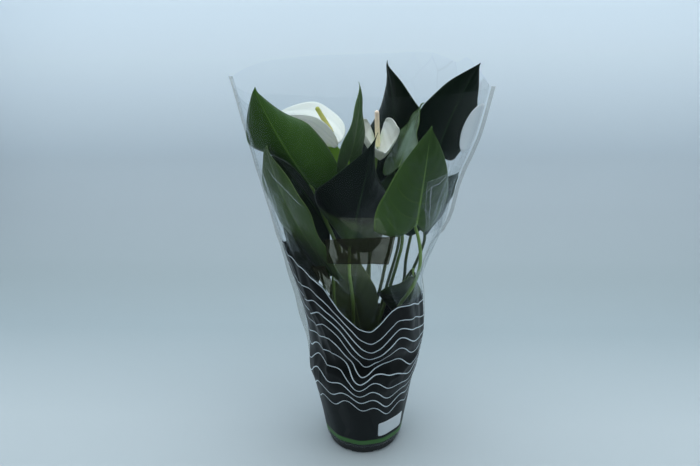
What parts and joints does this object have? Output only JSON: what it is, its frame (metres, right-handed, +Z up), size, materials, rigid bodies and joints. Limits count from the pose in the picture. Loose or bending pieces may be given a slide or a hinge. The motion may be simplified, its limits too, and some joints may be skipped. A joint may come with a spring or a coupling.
{
  "type": "potted anthurium",
  "caption": "White-flowered anthurium with heart-shaped leaves on long stalks, in a black nursery pot inside a tapered clear film sleeve with a black printed lower part.",
  "frame": {"origin": "middle of the pot's underside, on the surface it stands on", "axes": "+Z up, -Y towards the front of the picture, +X to the right of it"},
  "size_m": [0.347, 0.24, 0.5918],
  "materials": {
    "pot": "satin black",
    "growing_mix": "matt, fibrous peat and bark",
    "leaf": "leathery leaf, soft gloss",
    "leaf_dark": "leathery dark leaf, soft gloss",
    "stalk": "smooth stalk, satin",
    "spathe": "waxy white",
    "spadix_yellow": "matt, finely knobbly",
    "spadix_cream": "matt, finely knobbly",
    "film": "clear glossy film, lower part printed black",
    "label": "matt white, blank"
  },
  "bodies": {
    "root": {"film_sleeve": "film", "growing_mix": "growing_mix", "label_low": "label", "label_side": "label", "leaf_back_left": "leaf", "leaf_back_middle": "leaf", "leaf_back_right": "leaf", "leaf_center_dark": "leaf_dark", "leaf_center_narrow": "leaf", "leaf_left_inner": "leaf_dark", "leaf_left_large": "leaf", "leaf_left_long": "leaf", "leaf_low_front": "leaf", "leaf_low_left": "leaf", "leaf_low_right": "leaf", "leaf_right_front": "leaf", "leaf_right_side": "leaf_dark", "leaf_right_slim": "leaf", "leaf_top_dark": "leaf_dark", "leaf_top_right": "leaf_dark", "pot": "pot", "spadix_left": "spadix_yellow", "spadix_right": "spadix_cream", "spathe_left": "spathe", "spathe_right": "spathe", "stalk_flower_left": "stalk", "stalk_flower_right": "stalk", "stalk_leaf_back_left": "stalk", "stalk_leaf_back_middle": "stalk", "stalk_leaf_back_right": "stalk", "stalk_leaf_center_dark": "stalk", "stalk_leaf_center_narrow": "stalk", "stalk_leaf_left_inner": "stalk", "stalk_leaf_left_large": "stalk", "stalk_leaf_left_long": "stalk", "stalk_leaf_low_front": "stalk", "stalk_leaf_low_left": "stalk", "stalk_leaf_low_right": "stalk", "stalk_leaf_right_front": "stalk", "stalk_leaf_right_side": "stalk", "stalk_leaf_right_slim": "stalk", "stalk_leaf_top_dark": "stalk", "stalk_leaf_top_right": "stalk"}
  },
  "joints": []
}
